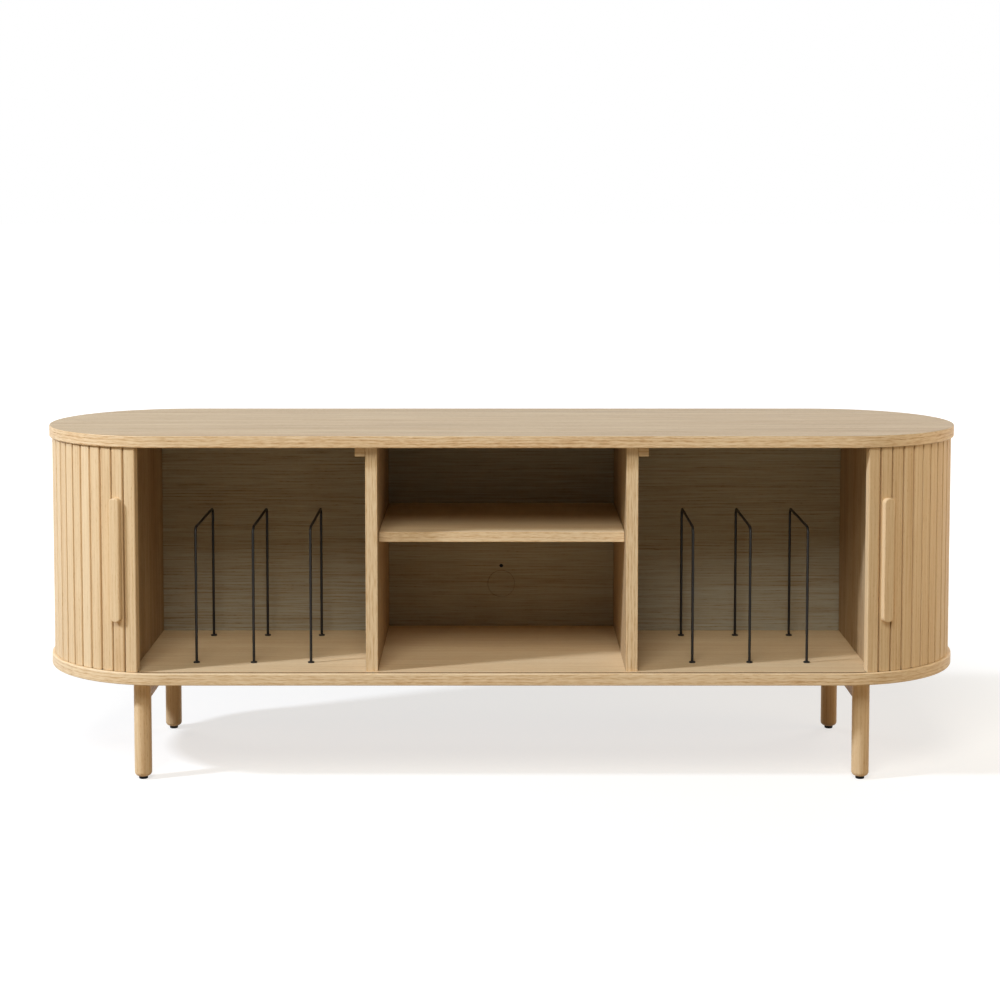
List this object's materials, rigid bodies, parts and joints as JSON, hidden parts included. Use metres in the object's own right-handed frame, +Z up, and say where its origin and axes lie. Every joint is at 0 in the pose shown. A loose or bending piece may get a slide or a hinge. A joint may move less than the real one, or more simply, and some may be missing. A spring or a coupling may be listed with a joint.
{
  "type": "record cabinet",
  "caption": "Pill-shaped oak record cabinet with sliding slat curtains at both ends, an open centre bay with a shelf, wire record dividers and round legs.",
  "frame": {"origin": "on the floor, under the middle of the cabinet", "axes": "+X along the length to the right of someone facing the front, +Y from the front to the rear, +Z up"},
  "size_m": [1.5636, 0.436, 0.584],
  "materials": {
    "oak_veneer": "clear matt lacquer on pale oak veneer",
    "oak_slats": "clear matt lacquer on pale oak",
    "oak_handles": "clear matt lacquer on pale oak",
    "oak_legs": "clear matt lacquer on pale oak",
    "black_wire": "satin black powder coat",
    "black_plastic": "matt",
    "zinc_steel": "zinc plated",
    "beech_dowels": "bare"
  },
  "bodies": {
    "root": {"top_panel": "oak_veneer", "bottom_panel": "oak_veneer", "left_inner_upright": "oak_veneer", "right_inner_upright": "oak_veneer", "left_end_partition": "oak_veneer", "right_end_partition": "oak_veneer", "left_back_panel": "oak_veneer", "right_back_panel": "oak_veneer", "centre_back_panel": "oak_veneer", "cable_hole_plug": "oak_veneer", "centre_shelf": "oak_veneer", "shelf_pins": "zinc_steel", "fixing_blocks": "oak_veneer", "track_stops": "black_plastic", "panel_dowels": "beech_dowels", "left_record_dividers": "black_wire", "right_record_dividers": "black_wire", "front_left_leg": "oak_legs", "front_right_leg": "oak_legs", "rear_left_leg": "oak_legs", "rear_right_leg": "oak_legs", "leg_rails": "oak_legs", "foot_glides": "black_plastic", "leg_screws": "zinc_steel"},
    "left_curtain_end": {"left_arc_slats": "oak_slats"},
    "left_lead_slat_part": {"left_slat_01": "oak_slats"},
    "left_pair_02_03_part": {"left_slats_02_03": "oak_slats", "left_handle": "oak_handles"},
    "left_slat_04_part": {"left_slat_04": "oak_slats"},
    "left_slat_05_part": {"left_slat_05": "oak_slats"},
    "left_slat_06_part": {"left_slat_06": "oak_slats"},
    "left_slat_07_part": {"left_slat_07": "oak_slats"},
    "left_slat_08_part": {"left_slat_08": "oak_slats"},
    "left_slat_09_part": {"left_slat_09": "oak_slats"},
    "left_slat_10_part": {"left_slat_10": "oak_slats"},
    "left_slat_11_part": {"left_slat_11": "oak_slats"},
    "left_slat_12_part": {"left_slat_12": "oak_slats"},
    "left_pair_13_14_part": {"left_slats_13_14": "oak_slats"},
    "left_pair_15_16_part": {"left_slats_15_16": "oak_slats"},
    "left_tail_part_1": {"left_tail_slats_1": "oak_slats"},
    "left_tail_part_2": {"left_tail_slats_2": "oak_slats"},
    "left_tail_part_3": {"left_tail_slats_3": "oak_slats"},
    "right_curtain_end": {"right_arc_slats": "oak_slats"},
    "right_lead_slat_part": {"right_slat_01": "oak_slats"},
    "right_pair_02_03_part": {"right_slats_02_03": "oak_slats", "right_handle": "oak_handles"},
    "right_slat_04_part": {"right_slat_04": "oak_slats"},
    "right_slat_05_part": {"right_slat_05": "oak_slats"},
    "right_slat_06_part": {"right_slat_06": "oak_slats"},
    "right_slat_07_part": {"right_slat_07": "oak_slats"},
    "right_slat_08_part": {"right_slat_08": "oak_slats"},
    "right_slat_09_part": {"right_slat_09": "oak_slats"},
    "right_slat_10_part": {"right_slat_10": "oak_slats"},
    "right_slat_11_part": {"right_slat_11": "oak_slats"},
    "right_slat_12_part": {"right_slat_12": "oak_slats"},
    "right_pair_13_14_part": {"right_slats_13_14": "oak_slats"},
    "right_pair_15_16_part": {"right_slats_15_16": "oak_slats"},
    "right_tail_part_1": {"right_tail_slats_1": "oak_slats"},
    "right_tail_part_2": {"right_tail_slats_2": "oak_slats"},
    "right_tail_part_3": {"right_tail_slats_3": "oak_slats"}
  },
  "joints": [
    {"name": "left_curtain_travel", "type": "hinge", "parent": "root", "child": "left_curtain_end", "pos_m": [-0.564, 0, 0.377], "axis": [0, 0, 1], "range_deg": [0, 105.66]},
    {"name": "left_lead_slat_travel", "type": "hinge", "parent": "root", "child": "left_lead_slat_part", "pos_m": [-0.39889, 1.42896, 0.377], "axis": [0, 0, 1], "range_deg": [0, 13.1]},
    {"name": "left_pair_02_03_travel", "type": "hinge", "parent": "root", "child": "left_pair_02_03_part", "pos_m": [-0.41312, 0.75953, 0.377], "axis": [0, 0, 1], "range_deg": [0, 22.05]},
    {"name": "left_slat_04_travel", "type": "hinge", "parent": "root", "child": "left_slat_04_part", "pos_m": [-0.43132, 0.47647, 0.377], "axis": [0, 0, 1], "range_deg": [0, 31.01]},
    {"name": "left_slat_05_travel", "type": "hinge", "parent": "root", "child": "left_slat_05_part", "pos_m": [-0.44198, 0.36359, 0.377], "axis": [0, 0, 1], "range_deg": [0, 36.98]},
    {"name": "left_slat_06_travel", "type": "hinge", "parent": "root", "child": "left_slat_06_part", "pos_m": [-0.45261, 0.28213, 0.377], "axis": [0, 0, 1], "range_deg": [0, 42.96]},
    {"name": "left_slat_07_travel", "type": "hinge", "parent": "root", "child": "left_slat_07_part", "pos_m": [-0.46324, 0.22072, 0.377], "axis": [0, 0, 1], "range_deg": [0, 48.93]},
    {"name": "left_slat_08_travel", "type": "hinge", "parent": "root", "child": "left_slat_08_part", "pos_m": [-0.47385, 0.17294, 0.377], "axis": [0, 0, 1], "range_deg": [0, 54.9]},
    {"name": "left_slat_09_travel", "type": "hinge", "parent": "root", "child": "left_slat_09_part", "pos_m": [-0.48445, 0.13487, 0.377], "axis": [0, 0, 1], "range_deg": [0, 60.87]},
    {"name": "left_slat_10_travel", "type": "hinge", "parent": "root", "child": "left_slat_10_part", "pos_m": [-0.49505, 0.10404, 0.377], "axis": [0, 0, 1], "range_deg": [0, 66.85]},
    {"name": "left_slat_11_travel", "type": "hinge", "parent": "root", "child": "left_slat_11_part", "pos_m": [-0.50565, 0.07874, 0.377], "axis": [0, 0, 1], "range_deg": [0, 72.82]},
    {"name": "left_slat_12_travel", "type": "hinge", "parent": "root", "child": "left_slat_12_part", "pos_m": [-0.51624, 0.05782, 0.377], "axis": [0, 0, 1], "range_deg": [0, 78.79]},
    {"name": "left_pair_13_14_travel", "type": "hinge", "parent": "root", "child": "left_pair_13_14_part", "pos_m": [-0.5317, 0.03245, 0.377], "axis": [0, 0, 1], "range_deg": [0, 87.75]},
    {"name": "left_pair_15_16_travel", "type": "hinge", "parent": "root", "child": "left_pair_15_16_part", "pos_m": [-0.55296, 0.00837, 0.377], "axis": [0, 0, 1], "range_deg": [0, 99.69]},
    {"name": "left_tail_1_travel", "type": "hinge", "parent": "root", "child": "left_tail_part_1", "pos_m": [-0.54541, -0.0128, 0.377], "axis": [0, 0, 1], "range_deg": [0, 96.25]},
    {"name": "left_tail_2_travel", "type": "hinge", "parent": "root", "child": "left_tail_part_2", "pos_m": [-0.5023, -0.07787, 0.377], "axis": [0, 0, 1], "range_deg": [0, 72.51]},
    {"name": "left_tail_3_travel", "type": "hinge", "parent": "root", "child": "left_tail_part_3", "pos_m": [-0.45813, -0.22144, 0.377], "axis": [0, 0, 1], "range_deg": [0, 48.62]},
    {"name": "right_curtain_travel", "type": "hinge", "parent": "root", "child": "right_curtain_end", "pos_m": [0.564, 0, 0.377], "axis": [0, 0, -1], "range_deg": [0, 105.66]},
    {"name": "right_lead_slat_travel", "type": "hinge", "parent": "root", "child": "right_lead_slat_part", "pos_m": [0.39889, 1.42896, 0.377], "axis": [0, 0, -1], "range_deg": [0, 13.1]},
    {"name": "right_pair_02_03_travel", "type": "hinge", "parent": "root", "child": "right_pair_02_03_part", "pos_m": [0.41312, 0.75953, 0.377], "axis": [0, 0, -1], "range_deg": [0, 22.05]},
    {"name": "right_slat_04_travel", "type": "hinge", "parent": "root", "child": "right_slat_04_part", "pos_m": [0.43132, 0.47647, 0.377], "axis": [0, 0, -1], "range_deg": [0, 31.01]},
    {"name": "right_slat_05_travel", "type": "hinge", "parent": "root", "child": "right_slat_05_part", "pos_m": [0.44198, 0.36359, 0.377], "axis": [0, 0, -1], "range_deg": [0, 36.98]},
    {"name": "right_slat_06_travel", "type": "hinge", "parent": "root", "child": "right_slat_06_part", "pos_m": [0.45261, 0.28213, 0.377], "axis": [0, 0, -1], "range_deg": [0, 42.96]},
    {"name": "right_slat_07_travel", "type": "hinge", "parent": "root", "child": "right_slat_07_part", "pos_m": [0.46324, 0.22072, 0.377], "axis": [0, 0, -1], "range_deg": [0, 48.93]},
    {"name": "right_slat_08_travel", "type": "hinge", "parent": "root", "child": "right_slat_08_part", "pos_m": [0.47385, 0.17294, 0.377], "axis": [0, 0, -1], "range_deg": [0, 54.9]},
    {"name": "right_slat_09_travel", "type": "hinge", "parent": "root", "child": "right_slat_09_part", "pos_m": [0.48445, 0.13487, 0.377], "axis": [0, 0, -1], "range_deg": [0, 60.87]},
    {"name": "right_slat_10_travel", "type": "hinge", "parent": "root", "child": "right_slat_10_part", "pos_m": [0.49505, 0.10404, 0.377], "axis": [0, 0, -1], "range_deg": [0, 66.85]},
    {"name": "right_slat_11_travel", "type": "hinge", "parent": "root", "child": "right_slat_11_part", "pos_m": [0.50565, 0.07874, 0.377], "axis": [0, 0, -1], "range_deg": [0, 72.82]},
    {"name": "right_slat_12_travel", "type": "hinge", "parent": "root", "child": "right_slat_12_part", "pos_m": [0.51624, 0.05782, 0.377], "axis": [0, 0, -1], "range_deg": [0, 78.79]},
    {"name": "right_pair_13_14_travel", "type": "hinge", "parent": "root", "child": "right_pair_13_14_part", "pos_m": [0.5317, 0.03245, 0.377], "axis": [0, 0, -1], "range_deg": [0, 87.75]},
    {"name": "right_pair_15_16_travel", "type": "hinge", "parent": "root", "child": "right_pair_15_16_part", "pos_m": [0.55296, 0.00837, 0.377], "axis": [0, 0, -1], "range_deg": [0, 99.69]},
    {"name": "right_tail_1_travel", "type": "hinge", "parent": "root", "child": "right_tail_part_1", "pos_m": [0.54541, -0.0128, 0.377], "axis": [0, 0, -1], "range_deg": [0, 96.25]},
    {"name": "right_tail_2_travel", "type": "hinge", "parent": "root", "child": "right_tail_part_2", "pos_m": [0.5023, -0.07787, 0.377], "axis": [0, 0, -1], "range_deg": [0, 72.51]},
    {"name": "right_tail_3_travel", "type": "hinge", "parent": "root", "child": "right_tail_part_3", "pos_m": [0.45813, -0.22144, 0.377], "axis": [0, 0, -1], "range_deg": [0, 48.62]}
  ],
  "couplings": [
    {"joint": "left_lead_slat_travel", "follows": "left_curtain_travel", "ratio": 0.12386},
    {"joint": "left_pair_02_03_travel", "follows": "left_curtain_travel", "ratio": 0.20864},
    {"joint": "left_slat_04_travel", "follows": "left_curtain_travel", "ratio": 0.29343},
    {"joint": "left_slat_05_travel", "follows": "left_curtain_travel", "ratio": 0.34996},
    {"joint": "left_slat_06_travel", "follows": "left_curtain_travel", "ratio": 0.40648},
    {"joint": "left_slat_07_travel", "follows": "left_curtain_travel", "ratio": 0.46301},
    {"joint": "left_slat_08_travel", "follows": "left_curtain_travel", "ratio": 0.51953},
    {"joint": "left_slat_09_travel", "follows": "left_curtain_travel", "ratio": 0.57606},
    {"joint": "left_slat_10_travel", "follows": "left_curtain_travel", "ratio": 0.63259},
    {"joint": "left_slat_11_travel", "follows": "left_curtain_travel", "ratio": 0.68911},
    {"joint": "left_slat_12_travel", "follows": "left_curtain_travel", "ratio": 0.74564},
    {"joint": "left_pair_13_14_travel", "follows": "left_curtain_travel", "ratio": 0.83042},
    {"joint": "left_pair_15_16_travel", "follows": "left_curtain_travel", "ratio": 0.94347},
    {"joint": "left_tail_1_travel", "follows": "left_curtain_travel", "ratio": 0.91088},
    {"joint": "left_tail_2_travel", "follows": "left_curtain_travel", "ratio": 0.6862},
    {"joint": "left_tail_3_travel", "follows": "left_curtain_travel", "ratio": 0.4601},
    {"joint": "right_lead_slat_travel", "follows": "right_curtain_travel", "ratio": 0.12386},
    {"joint": "right_pair_02_03_travel", "follows": "right_curtain_travel", "ratio": 0.20864},
    {"joint": "right_slat_04_travel", "follows": "right_curtain_travel", "ratio": 0.29343},
    {"joint": "right_slat_05_travel", "follows": "right_curtain_travel", "ratio": 0.34996},
    {"joint": "right_slat_06_travel", "follows": "right_curtain_travel", "ratio": 0.40648},
    {"joint": "right_slat_07_travel", "follows": "right_curtain_travel", "ratio": 0.46301},
    {"joint": "right_slat_08_travel", "follows": "right_curtain_travel", "ratio": 0.51953},
    {"joint": "right_slat_09_travel", "follows": "right_curtain_travel", "ratio": 0.57606},
    {"joint": "right_slat_10_travel", "follows": "right_curtain_travel", "ratio": 0.63259},
    {"joint": "right_slat_11_travel", "follows": "right_curtain_travel", "ratio": 0.68911},
    {"joint": "right_slat_12_travel", "follows": "right_curtain_travel", "ratio": 0.74564},
    {"joint": "right_pair_13_14_travel", "follows": "right_curtain_travel", "ratio": 0.83042},
    {"joint": "right_pair_15_16_travel", "follows": "right_curtain_travel", "ratio": 0.94347},
    {"joint": "right_tail_1_travel", "follows": "right_curtain_travel", "ratio": 0.91088},
    {"joint": "right_tail_2_travel", "follows": "right_curtain_travel", "ratio": 0.6862},
    {"joint": "right_tail_3_travel", "follows": "right_curtain_travel", "ratio": 0.4601}
  ]
}
